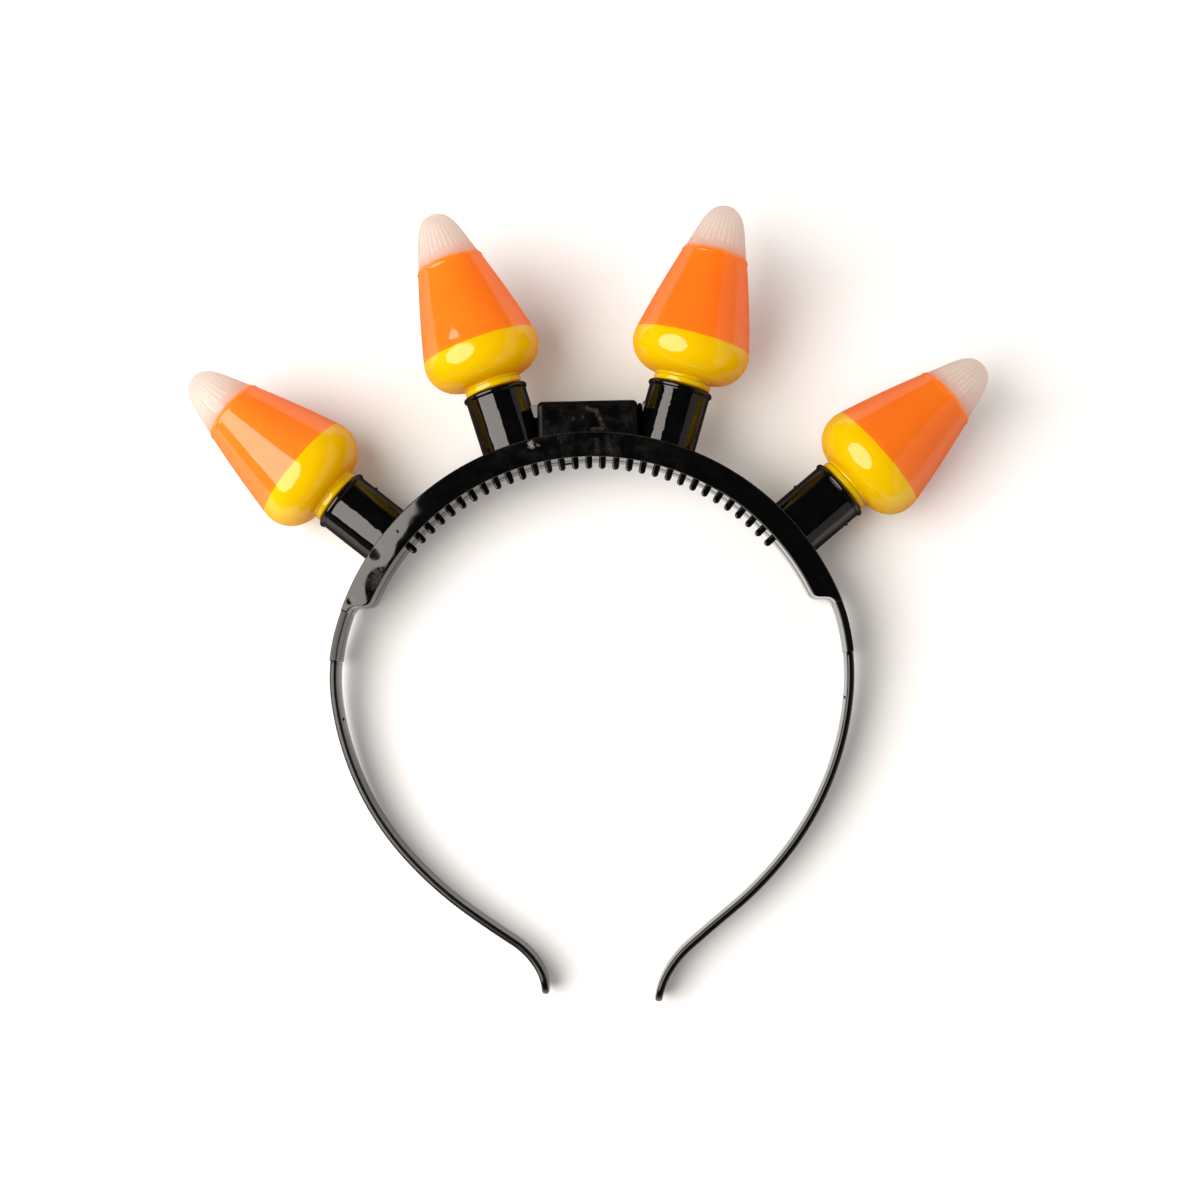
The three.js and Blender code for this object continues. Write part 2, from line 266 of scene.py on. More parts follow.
def line_mark(f, place, ragged, start, end, radius):
    """A mask round a line on the face, with ragged edges."""
    along = (Vector(end) - Vector(start)).to_3d() * MM
    gap = f.vectors("SUBTRACT", place, (*(c * MM for c in start), 0))
    share = f.vectors("DOT_PRODUCT", gap, along / along.length_squared, "Value")
    held = f.node("ShaderNodeMath", {"operation": "MULTIPLY", "use_clamp": True}, {0: share, 1: 1.0})
    nearest = f.node("ShaderNodeVectorMath", {"operation": "SCALE"}, {0: along, "Scale": held})
    away = f.vectors("LENGTH", f.vectors("SUBTRACT", gap, nearest), output="Value") / MM
    return 1.0 - f.step(away + (ragged - 0.5) * (radius * RAGGEDNESS), radius * 0.2, radius)


print(len(SCRAPES), "scrapes on the face,", len(EDGE_PAINTED_HIGHLIGHT), "on the box's edge")

# %% [markdown]
# ## Black plastic
#
# The shells are moulded in glossy black plastic. Such a face is never quite flat: it sinks a little where
# the wall behind it is thick, so the edge of a bright reflection wanders. A bump with soft spots of several
# millimetres does that. A second, finer layer gives the scuffs and swirls of handling, which mostly change
# the roughness. Most of them are where the crown is held. A faint pale line along its outer corner is partly
# wear and partly a painted highlight of the rounded edge. At flat angles a real moulding reflects less than
# a mirror would, so a matt shader takes over part of it there, most of all on the sockets. The arms are
# duller, and so is the worn bevel of the battery box, which also has a painted highlight.

# %% Black plastic
HANDLED = (  # middle, inner and outer radius of the areas where handling has scuffed the crown
    ((0.0, 66.0), 10.0, 34.0),
    ((-54.5, 31.5), 5.0, 11.0),
)
HANDLED_ELSEWHERE = 0.15
CLEAN_BLACK = (0.0011, 0.0011, 0.0012, 1)
SCUFFED_BLACK = (0.0085, 0.0082, 0.0084, 1)
MATT_BLACK = (0.0030, 0.0028, 0.0027, 1)
SCRATCH_GREY = (0.034, 0.032, 0.030, 1)
SPECK_GREY = (0.06, 0.056, 0.052, 1)
PALE_MARK_GREY = (0.17, 0.16, 0.15, 1)
WEAR_AND_HIGHLIGHT_GREY = (0.17, 0.17, 0.17, 1)
SPECK_SPACING = 2.2
PLASTIC_IOR = 1.46


def worn_and_lit_corner(f, on_face, wear_and_highlight_patches):
    """A mask along the crown's outer corner, pale partly from wear and partly as a painted highlight of the
    edge.
    """
    from_centre = f.vectors("LENGTH", on_face, output="Value") / MM
    corner = f.step(from_centre, CROWN_RADIUS - 0.40, CROWN_RADIUS - 0.15)
    corner = corner * (1.0 - f.step(from_centre, CROWN_RADIUS - 0.02, CROWN_RADIUS + 0.12))
    return corner * (0.015 + 0.075 * wear_and_highlight_patches)


def black_plastic(
    name, roughness, waviness, grain, flat_loss, pale_marks=(), wave_size=7.0, dullness=0.0,
    flat_range=(0.30, 0.85),
):
    """Moulded black plastic.

    Roughness is for clean and for scuffed places; waviness, its size and grain are in millimetres. Dullness
    is the share of a matt shader, and flat_loss is added to it at flat angles, over the flat_range.
    """
    gloss_roughness, scuff_roughness = roughness
    f = finish(name)
    place = f.node("ShaderNodeTexCoord", output="Object")
    on_face = f.vectors("MULTIPLY", place, (1, 1, 0))
    stretched = f.node(
        "ShaderNodeMapping", None,
        {"Vector": place, "Rotation": (0.2, 0.1, 0.9), "Scale": (1.0, 0.08, 1.0)},
    )
    scratch = f.step(f.noise(stretched, 0.25, 3.0, 0.7), 0.60, 0.72)
    handled = HANDLED_ELSEWHERE
    for middle, clear, fade in HANDLED:
        away = f.vectors("DISTANCE", on_face, (*(c * MM for c in middle), 0), "Value")
        handled = handled + 0.85 * (1.0 - f.step(away / MM, clear, fade))
    scuff = f.step(f.noise(place, 4.0, 3.0, 0.6), 0.40, 0.72) * handled
    specks = {"Vector": place, "Scale": 1 / (SPECK_SPACING * MM)}
    speck = 1.0 - f.step(f.node("ShaderNodeTexVoronoi", {"feature": "F1"}, specks), 0.035, 0.06)
    tint = f.blend(scuff * 0.65, CLEAN_BLACK, SCUFFED_BLACK)
    tint = f.blend(scratch * scuff * 0.60, tint, SCRATCH_GREY)
    tint = f.blend(speck * 0.4 * handled, tint, SPECK_GREY)
    rough = gloss_roughness + scuff * (scuff_roughness - gloss_roughness)
    rough = rough + scratch * scuff * 0.12 + speck * 0.25
    ragged = f.noise(place, 0.7, 3.0, 0.7)
    wear_and_highlight_patches = f.step(f.noise(place, 0.45, 2.0), 0.38, 0.60)
    if pale_marks:
        # pale line along the outer corner: partly wear, partly a painted highlight of the rounded edge
        tint = f.blend(worn_and_lit_corner(f, on_face, wear_and_highlight_patches), tint, WEAR_AND_HIGHLIGHT_GREY)
    # pale marks: scrapes on the face, and a painted highlight on the box's bevel
    for start, end, radius, brightness in pale_marks:
        mark = line_mark(f, on_face, ragged, start, end, radius)
        tint = f.blend(mark * (0.35 + 0.65 * wear_and_highlight_patches) * brightness, tint, PALE_MARK_GREY)
        rough = rough + mark * (0.45 * brightness)
    soft = f.bump(waviness, f.noise(place, wave_size, 1.0))
    bump = f.bump(grain, f.noise(place, 0.35, 2.0) + scratch * 0.6, soft)
    shader = f.node(
        "ShaderNodeBsdfPrincipled", None,
        {"Base Color": tint, "Roughness": rough, "IOR": PLASTIC_IOR, "Normal": bump},
    )
    matt = f.node("ShaderNodeBsdfDiffuse", None, {"Color": MATT_BLACK})
    return f.surface(f.mix(f.facing(*flat_range) * flat_loss + dullness, shader, matt))


crown_black = black_plastic("glossy_black_plastic", (0.035, 0.13), 0.016, 0.0005, 0.06, SCRAPES)
socket_black = black_plastic(
    "socket_black_plastic", (0.035, 0.13), 0.065, 0.0005, 0.92, wave_size=2.8, flat_range=(0.32, 0.64)
)
# the box's worn, duller bevel, which carries a painted highlight
edge_black = black_plastic("worn_edge_plastic_with_painted_highlight", (0.26, 0.36), 0.016, 0.003, 0.4, EDGE_PAINTED_HIGHLIGHT, dullness=0.80)
arm_black = black_plastic("satin_black_plastic", (0.20, 0.28), 0.012, 0.0014, 0.05)
print("finishes:", crown_black.name, socket_black.name, edge_black.name, arm_black.name)

# %% [markdown]
# ## Painted bulbs
#
# A bulb is one hollow piece of milky plastic. It is dipped or sprayed in two coats: warm yellow over the
# round base, and orange over the cone. The tip stays bare. Light goes through all of it, which is why the
# shadows beside the bulbs glow orange. Each coat is a glossy shader mixed with a translucent one. Where the
# yellow is seen at a flat angle it turns deeper and more orange: that is painted shade. No two bulbs were
# painted alike, so the lines between the coats and the orange differ.

# %% Painted bulbs
BULBS = {  # lean in degrees; length and the heights of the coats' upper ends in millimetres; orange
    "outer_left": (1.3, 47.9, 11.9, 35.1, (0.92, 0.300, 0.026, 1)),
    "inner_left": (-1.8, 47.1, 11.7, 34.4, (0.92, 0.288, 0.019, 1)),
    "inner_right": (-0.95, 46.8, 11.6, 34.4, (0.91, 0.262, 0.017, 1)),
    "outer_right": (-0.55, 46.8, 11.8, 34.9, (0.85, 0.245, 0.019, 1)),
}
THROUGH = 0.5  # share of a coat's light that goes through it
COAT_IOR = 1.72  # higher than the paint's own, because only the other share is glossy
YELLOW = (0.81, 0.68, 0.0006, 1), (0.79, 0.64, 0.0005, 1)  # in two kinds of patches
# painted shade at the bulge's edges, deeper and more orange than the paint
YELLOW_EDGE_SHADE = (0.86, 0.44, 0.004, 1)
YELLOW_THROUGH = (0.92, 0.69, 0.001, 1)
ORANGE_BY_YELLOW = (0.90, 0.34, 0.006, 1)
THIN_ORANGE = (0.93, 0.46, 0.11, 1)
ORANGE_THROUGH = (0.97, 0.28, 0.014, 1)


def coat(f, tint, roughness, through, share, normal):
    """A glossy coat that lets a share of the light through, and turns matt at flat angles."""
    flat_angle = f.facing(0.35, 0.90)
    gloss = f.node(
        "ShaderNodeBsdfPrincipled", None,
        {"Base Color": tint, "Roughness": roughness, "IOR": COAT_IOR, "Normal": normal},
    )
    matt = f.node("ShaderNodeBsdfDiffuse", None, {"Color": tint, "Normal": normal})
    back = f.node("ShaderNodeBsdfTranslucent", None, {"Color": through, "Normal": normal})
    return f.mix(share + flat_angle * 0.05, f.mix(flat_angle * 0.72, gloss, matt), back)


def orange_tint(f, height, ragged, drift, yellow_end, orange_end, orange):
    """The orange coat's colour: warmer beside the yellow, and pale where it thins out."""
    red, green, blue, _ = orange
    tint = f.blend(drift, orange, (red * 0.985, green * 0.92, blue * 0.9, 1))
    near_yellow = 1.0 - f.step(height, yellow_end, yellow_end + 1.0)
    tint = f.blend(near_yellow * 0.30, tint, ORANGE_BY_YELLOW)
    thin_paint = f.step(height + ragged, orange_end - 0.75, orange_end - 0.25)
    return f.blend(thin_paint * 0.55, tint, THIN_ORANGE)


print("coats for", ", ".join(BULBS))

# %% [markdown]
# ## The bare tip
#
# Where the paint ends, the milky plastic shows. It has fine ribs all round, broken up like the teeth of a
# worn file. A sine of the angle round the axis makes them. They change the relief, and their pale lines are
# painted light caught in the ribs. They start at uneven heights and fade out before the very end. Just above
# the orange the milk is tinted orange, a painted glow of light through the paint. A mask along the bulb's
# own axis chooses between the coats and the tip, and a mapping node finds that axis, because each bulb
# points its own way.

# %% The bare tip
RIB_COUNT = 34
BARE_THROUGH = 0.66
MILK = (0.58, 0.545, 0.515, 1), (0.67, 0.64, 0.61, 1)  # in two kinds of patches
# pale lines of the ribs: painted light caught in the ribs inside the wall
RIB_PAINTED_LIGHT = (0.96, 0.94, 0.92, 1)
# painted orange glow in the milk just above the paint
MILK_ORANGE_GLOW = (0.95, 0.40, 0.10, 1)
MILK_THROUGH = (0.92, 0.88, 0.84, 1)


def bare_tip(f, place, height, fine, length, orange_end):
    """The milky plastic of the tip, with its ribs."""
    across = f.node("ShaderNodeSeparateXYZ", None, {0: place}, "X")
    depth = f.node("ShaderNodeSeparateXYZ", None, {0: place}, "Y")
    turn = f.node("ShaderNodeMath", {"operation": "ARCTAN2"}, {0: depth, 1: across})
    ribs = f.node("ShaderNodeMath", {"operation": "SINE"}, {0: turn * float(RIB_COUNT)})
    long_way = f.node("ShaderNodeMapping", None, {"Vector": place, "Scale": (1.0, 1.0, 0.35)})
    broken = f.step(f.noise(long_way, 0.9, 2.0), 0.40, 0.58)
    start = orange_end + 1.6 + (f.noise(place, 1.1, 1.0) - 0.5) * 2.5
    rib_zone = f.step(height - start, 0.0, 0.9) * (1.0 - f.step(height, length - 4.2, length - 1.6))
    rib_mask = f.step(ribs, -0.2, 0.9) * (0.45 + 0.55 * broken) * rib_zone
    milk = f.blend(f.noise(place, 2.5, 3.0), *MILK)
    # painted light: the ribs' pale lines stand in for light caught in the ribs
    milk = f.blend(rib_mask * 0.9, milk, RIB_PAINTED_LIGHT)
    # painted glow: the milk just above the orange takes on its colour, standing in for light through the
    # paint
    near_orange = 1.0 - f.step(height, orange_end, orange_end + 1.5)
    milk = f.blend(near_orange * 0.22, milk, MILK_ORANGE_GLOW)
    return coat(f, milk, 0.12 + 0.08 * broken, MILK_THROUGH, BARE_THROUGH, f.bump(0.09, rib_mask, fine))


def bulb_finish(name, axes, length, yellow_end, orange_end, orange):
    """The finish of a bulb that stands on the given axes."""
    f = finish(f"candy_paint_{name}")
    seen = f.node("ShaderNodeTexCoord", output="Object")
    turned = {"Vector": seen, "Location": axes.translation, "Rotation": axes.to_euler("XYZ")}
    place = f.node("ShaderNodeMapping", {"vector_type": "TEXTURE"}, turned)
    height = f.node("ShaderNodeSeparateXYZ", None, {0: place}, "Z") / MM
    ragged = (f.noise(place, 1.4, 3.0) - 0.5) * 0.9
    drift = f.step(f.noise(place, 12.0, 1.0), 0.35, 0.65)
    orange_mask = f.step(height + ragged * 0.30, yellow_end - 0.10, yellow_end + 0.10)
    bare_mask = f.step(height + ragged, orange_end - 0.12, orange_end + 0.12)
    wave = f.bump(0.030, f.noise(place, 4.0, 1.5))
    fine = f.bump(0.0006, f.noise(place, 0.4, 2.0), wave)
    rough = 0.05 + 0.05 * f.noise(place, 3.0, 2.0)

    # where the bulge is seen at a flat angle the yellow turns to painted shade
    yellow = f.blend(f.facing(0.25, 0.95) * 0.65, f.blend(drift, *YELLOW), YELLOW_EDGE_SHADE)
    yellow_coat = coat(f, yellow, rough, YELLOW_THROUGH, THROUGH, fine)
    tint = orange_tint(f, height, ragged, drift, yellow_end, orange_end, orange)
    orange_coat = coat(f, tint, rough, ORANGE_THROUGH, THROUGH, fine)
    painted = f.mix(orange_mask, yellow_coat, orange_coat)
    return f.surface(f.mix(bare_mask, painted, bare_tip(f, place, height, fine, length, orange_end)))


print("a bulb's finish: two coats and", RIB_COUNT, "ribs")

# %% [markdown]
# ## Skins between rings
#
# Nearly every piece here can be made in one way: rows of points, one after another, with a skin of
# four-sided faces between them. A turned piece is a row of circles, an extruded one is its outline twice,
# and a bent strip is its section again and again. So one function makes the skin, and another one turns
# closed skins into an object, rounds its sharp edges and places it.

# %% Skins between rings
SHARP = math.radians(32)  # edges that turn more than this get rounded
SAME_POINT = 1e-7  # points closer than this, in metres, are one


def skin(rows, caps=True):
    """Points and faces of a body through closed rows of as many points each."""
    count = len(rows[0])
    points = [Vector(point) for row in rows for point in row]
    faces = []
    for i in range(len(rows) - 1):
        for j in range(count):
            k = (j + 1) % count
            faces.append((i * count + j, i * count + k, (i + 1) * count + k, (i + 1) * count + j))
    if caps:
        faces.append(tuple(range(count)))
        faces.append(tuple((len(rows) - 1) * count + j for j in range(count)))
    return points, faces


def piece(
    name, skins, node, material, edge=0.0, segments=3, place=None, turned=None, flat=False,
    edge_material=None,
):
    """One object from closed skins in millimetres. It hides a CAD node in its place and joins the root body.

    Its place turns the object, while turned moves the points and leaves the object straight.
    """
    materials = [material] + ([edge_material] if edge_material else [])
    shape = bmesh.new()
    for points, faces in skins:
        made = [shape.verts.new(turned @ (point * MM) if turned else point * MM) for point in points]
        for face in faces:
            shape.faces.new([made[i] for i in face])
    bmesh.ops.remove_doubles(shape, verts=shape.verts, dist=SAME_POINT)
    bmesh.ops.dissolve_degenerate(shape, edges=shape.edges, dist=SAME_POINT)
    bmesh.ops.recalc_face_normals(shape, faces=shape.faces)
    if edge:
        sharp = [e for e in shape.edges if e.is_manifold and e.calc_face_angle() > SHARP]
        bmesh.ops.bevel(
            shape, geom=sharp, offset=edge * MM, segments=segments, profile=0.5, affect="EDGES",
            clamp_overlap=False, material=len(materials) - 1,
        )
    mesh = bpy.data.meshes.new(name)
    shape.to_mesh(mesh)
    shape.free()
    for each in materials:
        mesh.materials.append(each)
    mesh.shade_smooth()
    obj = bpy.data.objects.new(name, mesh)
    bpy.context.scene.collection.objects.link(obj)
    obj.matrix_world = place or Matrix.Translation(CENTRE)
    if edge or flat:
        obj.modifiers.new("flat faces stay flat", "WEIGHTED_NORMAL").weight = 80
    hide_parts(node)
    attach(obj, "root")
    print(f"{name}: {len(mesh.polygons)} faces")
    return obj


def polar(radius, spread):
    """A point at a radius from the crown's centre and a spread from its middle, in degrees."""
    return Vector((radius * math.sin(math.radians(spread)), radius * math.cos(math.radians(spread))))


# %% [markdown]
# ## The arms' line
#
# Each arm has relaxed into its own shape. It starts along the crown's circle, curls in more and more
# slowly, and flares out at the tip. A chain of arcs describes that well: each arc has a share of the arm's
# length and the angle that it turns inwards. The same line also places the shells' tongues, which clamp
# the arm.

# %% The arms' line
CROWN_SPREAD = 64.9  # where the crown's full-width band ends
SHOULDER_SPREAD = 4.7
ARM_LENGTH = 115.5
ARM_THICKNESS = 1.8
ARM_DEPTH = 12.0
ARM_TIP_DEPTH = 9.5
ARM_TIP_RADIUS = 4.2
ARM_SHARES = (0.05, 0.15, 0.18, 0.18, 0.18, 0.12, 0.08, 0.06)
ARM_TURNS = {
    "left": (5.1, 22.8, 16.3, 16.9, 12.5, 3.3, -27.2, -34.0),
    "right": (8.9, 17.7, 16.2, 15.9, 13.3, -2.1, -21.1, -20.9),
}
shoulder_end = CROWN_SPREAD + SHOULDER_SPREAD


def arm_point(side, along):
    """The arm's middle line at a length from the shoulder, and the direction out of the headband there."""
    point = polar(CROWN_RADIUS - ARM_THICKNESS / 2, shoulder_end)
    heading = -math.radians(shoulder_end)
    remaining = along
    for share, degrees in zip(ARM_SHARES, ARM_TURNS[side]):
        stretch = min(remaining, share * ARM_LENGTH)
        turn = -math.radians(degrees) * stretch / (share * ARM_LENGTH)
        chord = stretch * (math.sin(turn / 2) / (turn / 2) if turn else 1)
        point += chord * Vector((math.cos(heading + turn / 2), math.sin(heading + turn / 2)))
        heading += turn
        remaining -= stretch
        if remaining <= 0:
            break
    outward = Vector((-math.sin(heading), math.cos(heading)))
    if side == "left":
        return Vector((-point.x, point.y)), Vector((-outward.x, outward.y))
    return point, outward


def spaced(start, end, step):
    """Evenly spaced values from start to end, at most a step apart."""
    count = max(1, math.ceil((end - start) / step))
    return [start + (end - start) * i / count for i in range(count + 1)]


for side in ARM_TURNS:
    tip, _ = arm_point(side, ARM_LENGTH)
    print(side, "arm ends at", [round(x, 1) for x in tip])

# %% [markdown]
# ## The crown's two shells
#
# Seen from the front, the crown is a ring segment that steps down at each end to the width of the arm. Its
# section is swept from end to end. Real mouldings aren't flat: the face falls off a little towards its
# outer edge, waves by some hundredths of a millimetre and has shallow dents over thick places inside. All
# of it is too small to see as a shape, but it decides where the softbox's reflection ends, and the dents
# break it up. The back shell is the same below the seam, and the gap between the two makes the parting
# line. On the inner wall, a fine rib on the back shell's edge covers the gap.

# %% The crown's two shells
SEAM = 0.09  # half of the gap between the shells
CROWN_EDGE = 0.33
SEAM_LIP = 0.12
SHOULDER_BEND = 3.2
FACE_STEPS = 16
FACE_SLOPE = (-0.012, 0.060, 0.045)  # at the face's inner edge, and what adds to it evenly and late
FACE_WAVE, WAVE_LENGTH = 0.022, 5.5
LEAST_FALL = 0.005
DENTS = (  # place on the face, depth and width
    (-52.5, 38.2, 0.235, 2.2),
    (-51.2, 29.6, 0.310, 2.9),
    (-59.3, 25.6, 0.130, 1.15),
    (-47.1, 42.6, 0.040, 0.40),
)
crown_inside = CROWN_RADIUS - CROWN_BAND


def round_corner(centre, radius, start, end, count=5):
    """Points on part of a circle in a profile, from one angle to another, in degrees."""
    angles = [math.radians(start + (end - start) * i / count) for i in range(count + 1)]
    return [(centre[0] + radius * math.cos(a), centre[1] + radius * math.sin(a)) for a in angles]


def bezier(p0, p1, p2, p3, count):
    """Points on a cubic curve."""
    made = []
    for i in range(count + 1):
        t = i / count
        made.append(p0 * (1 - t) ** 3 + p1 * 3 * t * (1 - t) ** 2 + p2 * 3 * t * t * (1 - t) + p3 * t**3)
    return made


def shoulder(side):
    """Stations (spread, inner radius) from the tongue's inner side to the crown's inner arc."""
    middle, outward = arm_point(side, 0)
    bottom = middle - outward * ARM_THICKNESS / 2
    mirror = -1 if side == "left" else 1
    top = polar(crown_inside, mirror * CROWN_SPREAD)
    back = Vector((outward.y, -outward.x)) * mirror * -SHOULDER_BEND
    above = Vector((-top.y, top.x)).normalized() * mirror * SHOULDER_BEND * -1
    curve = bezier(bottom, bottom + back, top + above, top, 22)
    return [(math.degrees(math.atan2(p.x, p.y)), p.length) for p in curve]


def face_fall(x, y):
    """How far the face lies below its nominal height at a place, in millimetres."""
    share = (math.hypot(x, y) - crown_inside) / CROWN_BAND
    first, even, late = FACE_SLOPE
    fall = CROWN_BAND * (first * share + even * share**2 / 2 + late * share**4 / 4)
    fall += FACE_WAVE * (0.5 + noise.noise(Vector((x / WAVE_LENGTH, y / WAVE_LENGTH, 3.0))))
    for dent_x, dent_y, deep, wide in DENTS:
        fall += deep * math.exp(-((x - dent_x) ** 2 + (y - dent_y) ** 2) / wide**2)
    return fall + LEAST_FALL


def crown_section(spread, inside, facing):
    """The shell's section at a spread, as a closed row of points."""
    e, lip, outside = CROWN_EDGE, SEAM_LIP, CROWN_RADIUS
    profile = round_corner((inside + lip, SEAM + lip), lip, 270, 180, 3)
    profile += round_corner((inside + e, HALF_DEPTH - e), e, 180, 90, 5)
    run = outside - inside - 2 * e
    profile += [(inside + e + run * i / FACE_STEPS, HALF_DEPTH) for i in range(1, FACE_STEPS)]
    profile += round_corner((outside - e, HALF_DEPTH - e), e, 90, 0, 5)
    profile += round_corner((outside - lip, SEAM + lip), lip, 0, -90, 3)
    row = []
    for radius, z in profile:
        x, y = polar(radius, spread)
        fall = face_fall(x, y) * max(0.0, (z - HALF_DEPTH + 1) / 1)
        row.append((x, y, facing * (z - fall)))
    return row


def both_shells(make):
    """Calls a maker for the front shell and for the back one, with the side that its face is on."""
    for half, facing in (("front", 1), ("back", -1)):
        make(half, facing, f"{half}_shell")


stations = shoulder("left")
stations += [(spread, crown_inside) for spread in spaced(-CROWN_SPREAD, CROWN_SPREAD, 0.45)[1:-1]]
stations += reversed(shoulder("right"))


def make_crown(half, facing, node):
    body = skin([crown_section(spread, inside, facing) for spread, inside in stations])
    piece(f"{half}_crown", [body], node, crown_black, flat=True)


both_shells(make_crown)

RIB_RADIUS = 0.27
RIB_PROUD = 0.10
rows = []
for spread, inside in stations:
    circle = round_corner((inside - RIB_PROUD + RIB_RADIUS, -SEAM - RIB_RADIUS), RIB_RADIUS, 0, 324, 9)
    rows.append([(*polar(radius, spread), z) for radius, z in circle])
piece("seam_rib", [skin(rows)], "back_shell", crown_black)

# %% [markdown]
# ## Tongues
#
# At each end of the crown the shells run on as thin tongues. Each has a lip on the inner side of the arm and
# a plate over the arm's edge, so its section is an L. The section is swept along the arm's line.

# %% Tongues
TONGUE_LENGTH = 12.6
TONGUE_LIP = 0.8
TONGUE_PLATE = 0.9
FIT = 0.3  # clearance between the arm and the tongue
TONGUE_ROOT = -1.5  # it starts inside the crown's end
TONGUE_EDGE = 0.26


def make_tongues(half, facing, node):
    under = ARM_DEPTH / 2 + FIT
    inner, outer = -ARM_THICKNESS / 2, ARM_THICKNESS / 2
    section = [
        (inner, SEAM), (inner + TONGUE_LIP, SEAM), (inner + TONGUE_LIP, under),
        (outer, under), (outer, under + TONGUE_PLATE), (inner, under + TONGUE_PLATE),
    ]
    for side in ARM_TURNS:
        rows = []
        for along in spaced(TONGUE_ROOT, TONGUE_LENGTH, 0.9):
            middle, outward = arm_point(side, along)
            rows.append([(*(middle + outward * offset), facing * z) for offset, z in section])
        piece(f"{half}_tongue_{side}", [skin(rows)], node, arm_black, TONGUE_EDGE)


both_shells(make_tongues)

# %% [markdown]
# ## Battery box and webs
#
# The battery box stands on the crown's outside between the inner sockets, a hair below the crown's face.
# Its corners are rounded in the outline, and its front edges by a larger bevel than the crown's, which is
# worn. Thin webs at mid-depth tie it to the sockets. Near the top they have thicker pads whose faces aren't
# quite level.

# %% Battery box and webs
BOX_WIDTH = 24.9
BOX_RISE = 7.8
BOX_SETBACK = 0.35
BOX_CORNER = 1.3
BOX_EDGE = 1.3
WEB_DEPTH = 3.0
WEB_DROP = 0.5  # below the box's top
PAD_FROM, PAD_TO = 12.5, 15.9  # from the middle
PAD_LEVELS = (3.4, 0.25)  # below the box's top
PAD_PROUD = 0.9
PAD_FALLS = {-1: (0.115, 0.065), 1: (0.128, 0.060)}  # on each side: to the left, and towards the crown
root_radius = CROWN_RADIUS - CROWN_BAND / 2  # what stands on the crown starts inside its band
box_top = CROWN_RADIUS + BOX_RISE


def level(outline, z):
    """An outline in the plane at a height."""
    return [(x, y, z) for x, y in outline]


def slab(outline, low, high):
    return skin([level(outline, low), level(outline, high)])


def rounded_top(half_width, bottom, top, corner):
    """A rectangle's outline with round upper corners."""
    quarter = [math.radians(90 * i / 8) for i in range(9)]
    x, y = half_width - corner, top - corner
    right = [(x + corner * math.cos(a), y + corner * math.sin(a)) for a in quarter]
    left = [(-x, y) for x, y in reversed(right)]
    return [(half_width, bottom), *right, *left, (-half_width, bottom)]


def pad(mirror, facing):
    """A small block between the box and a socket, whose face isn't level."""
    to_left, to_crown = PAD_FALLS[mirror]
    left, right = sorted((mirror * PAD_FROM, mirror * PAD_TO))
    bottom, top = (box_top - drop for drop in PAD_LEVELS)
    outline = [(left, bottom), (right, bottom), (right, top), (left, top)]
    high = WEB_DEPTH / 2 + PAD_PROUD
    face = [(x, y, facing * (high + (x - right) * to_left + (y - box_top) * to_crown)) for x, y in outline]
    return skin([level(outline, facing * SEAM), face])


def make_box(half, facing, node):
    outline = rounded_top(BOX_WIDTH / 2, root_radius, box_top, BOX_CORNER)
    body = slab(outline, facing * SEAM, facing * (HALF_DEPTH - BOX_SETBACK))
    piece(
        f"{half}_battery_box", [body], node, crown_black, BOX_EDGE, 7,
        edge_material=edge_black,
    )
    reach = rim_radius * math.sin(inner_turn) - RIM_DIAMETER / 4
    web = rounded_top(reach, root_radius, box_top - WEB_DROP, 0.5)
    body = slab(web, facing * SEAM, facing * WEB_DEPTH / 2)
    piece(f"{half}_web", [body], node, crown_black, 0.2)
    pads = [pad(mirror, facing) for mirror in (-1, 1)]
    piece(f"{half}_web_pads", pads, node, crown_black, 0.08)


both_shells(make_box)

# %% [markdown]
# ## Sockets
#
# A socket is a short tube with a rounded rim, split lengthwise between the shells. Half a tube is its
# wall's section, a closed loop, turned through half a circle. Each one gets an axis of its own, with local
# Z along the socket and local Y up. At the seam a little plastic has escaped from the mould: small crumbs
# stand on the sides.

# %% Sockets
SOCKET_DIAMETER = 15.5
SOCKET_BORE = 12.9
RIM_LENGTH = 1.5
SOCKETS = {
    "outer_left": -OUTER_SPREAD,
    "inner_left": -INNER_SPREAD,
    "inner_right": INNER_SPREAD,
    "outer_right": OUTER_SPREAD,
}
CRUMB = (0.35, 0.3, 0.4)
CRUMBS = {  # (height from the crown's outside, side) of the crumbs on each socket
    "outer_left": [(9.4, -1)],
    "inner_left": [(5.6, -1)],
    "inner_right": [(8.9, 1)],
    "outer_right": [(10.2, -1), (6.6, 1)],
}


def stand(spread, radius, lean=0.0):
    """A place at a radius and spread, with local Z pointing out and local Y up."""
    out = Vector((*polar(1, spread + lean), 0))
    up = Vector((0, 0, 1))
    axes = Matrix((up.cross(out), up, out)).transposed().to_4x4()
    return Matrix.Translation(CENTRE + Vector((*polar(radius, spread), 0)) * MM) @ axes


def socket_profile():
    """The wall's section as (radius, height), with height 0 at the crown's outside."""
    wall, bore, rim = SOCKET_DIAMETER / 2, SOCKET_BORE / 2, RIM_DIAMETER / 2
    top, bead = SOCKET_LENGTH, RIM_LENGTH / 2
    return [
        (bore, -CROWN_BAND / 2), (wall, -CROWN_BAND / 2), (wall, top - RIM_LENGTH - 0.25),
        *round_corner((rim - bead, top - bead), bead, -70, 90, 10),
        *round_corner((bore + 0.35, top - 0.35), 0.35, 90, 180, 4),
    ]


